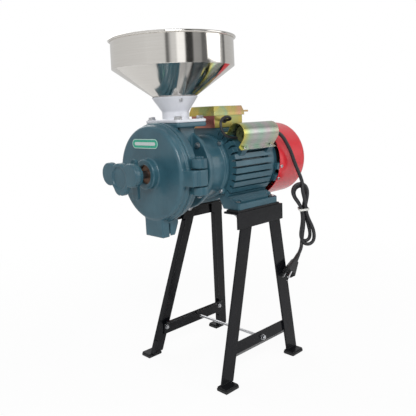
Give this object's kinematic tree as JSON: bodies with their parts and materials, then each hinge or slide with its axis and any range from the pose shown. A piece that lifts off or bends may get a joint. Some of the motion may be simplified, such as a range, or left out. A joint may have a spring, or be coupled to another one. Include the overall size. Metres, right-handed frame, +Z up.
{
  "type": "electric grain mill",
  "caption": "Disc mill with hopper, hinged door, adjusting knob and electric motor on a trestle stand, with a coiled mains cord.",
  "frame": {"origin": "middle of the footprint on the floor under the mill, measured without the cord", "axes": "+Z up, +X along the shaft from the adjusting knob to the motor's fan, -Y towards the door's hinge side"},
  "size_m": [0.494, 0.274, 0.707],
  "materials": {
    "teal_paint": "hammered gloss paint",
    "black_paint": "satin paint",
    "red_paint": "gloss paint",
    "white_paint": "gloss paint",
    "stainless": "polished",
    "yellow_zinc": "yellow passivated zinc",
    "zinc": "zinc plated",
    "black_rubber": "matte",
    "cord_rubber": "satin",
    "cast_iron": "ground",
    "steel": "turned",
    "bronze": "dull",
    "copper": "varnished",
    "black_plastic": "moulded",
    "can_aluminium": "satin",
    "label": "printed plain",
    "white_plastic": "plain"
  },
  "bodies": {
    "mill": {"top_bar_near": "black_paint", "top_bar_far": "black_paint", "leg_front_near": "black_paint", "leg_rear_near": "black_paint", "leg_front_far": "black_paint", "leg_rear_far": "black_paint", "brace_near": "black_paint", "brace_far": "black_paint", "tie_rod": "zinc", "tie_nuts": "zinc", "stand_bolts": "zinc", "rubber_feet": "black_rubber", "packing_strips": "black_rubber", "motor_foot_bolts": "zinc", "motor_frame": "teal_paint", "end_bell_front": "teal_paint", "end_bell_rear": "teal_paint", "end_bell_bolts": "zinc", "stator_core": "steel", "stator_windings": "copper", "shaft_bearings": "steel", "fan_cover": "red_paint", "cover_screws": "zinc", "capacitor_cover": "yellow_zinc", "capacitors": "can_aluminium", "terminal_box": "yellow_zinc", "terminal_lid": "yellow_zinc", "terminal_block": "black_plastic", "cable_grommets": "black_rubber", "link_wire": "cord_rubber", "mill_housing": "teal_paint", "hinge_pin": "zinc", "stationary_disc": "cast_iron", "disc_screws": "zinc", "clamp_pin": "zinc", "housing_bolts": "zinc", "inlet_funnel": "white_paint", "funnel_bolts": "zinc", "hopper": "stainless", "hopper_screws": "zinc", "power_cord": "cord_rubber", "cord_hank": "cord_rubber", "hank_tie": "white_plastic", "cord_tail": "cord_rubber", "cord_plug": "black_plastic", "plug_blades": "zinc"},
    "door": {"mill_door": "teal_paint", "clamp_ear": "teal_paint", "spindle_bush": "bronze", "label_plate": "label"},
    "rotor": {"motor_shaft": "steel", "rotor_core": "steel", "cooling_fan": "black_plastic", "rotating_disc": "cast_iron", "feed_auger": "cast_iron"},
    "spindle": {"adjusting_spindle": "steel"},
    "knob": {"adjusting_knob": "teal_paint"},
    "lock": {"lock_nut": "teal_paint"},
    "clamp": {"clamp_bolt": "zinc"},
    "wing_nut": {"clamp_nut": "zinc"}
  },
  "joints": [
    {"name": "door_hinge", "type": "hinge", "parent": "mill", "child": "door", "pos_m": [-0.1415, -0.11, 0.446], "axis": [0, 0, 1], "range_deg": [0, 110]},
    {"name": "rotor_spin", "type": "hinge", "parent": "mill", "child": "rotor", "pos_m": [0, 0, 0.446], "axis": [1, 0, 0], "continuous": true},
    {"name": "knob_turn", "type": "hinge", "parent": "spindle", "child": "knob", "pos_m": [-0.24, 0, 0.446], "axis": [-1, 0, 0], "range_deg": [0, 720]},
    {"name": "spindle_travel", "type": "slide", "parent": "door", "child": "spindle", "axis": [-1, 0, 0], "range_m": [0, 0.004]},
    {"name": "lock_nut_turn", "type": "hinge", "parent": "spindle", "child": "lock", "pos_m": [-0.209, 0, 0.446], "axis": [-1, 0, 0], "continuous": true},
    {"name": "clamp_swing", "type": "hinge", "parent": "mill", "child": "clamp", "pos_m": [-0.1415, 0.116, 0.446], "axis": [0, 0, 1], "range_deg": [0, 180]},
    {"name": "wing_nut_turn", "type": "hinge", "parent": "clamp", "child": "wing_nut", "pos_m": [-0.105, 0.116, 0.446], "axis": [1, 0, 0], "continuous": true}
  ],
  "couplings": [
    {"joint": "spindle_travel", "follows": "knob_turn", "m_per_rad": 0.00031831}
  ]
}
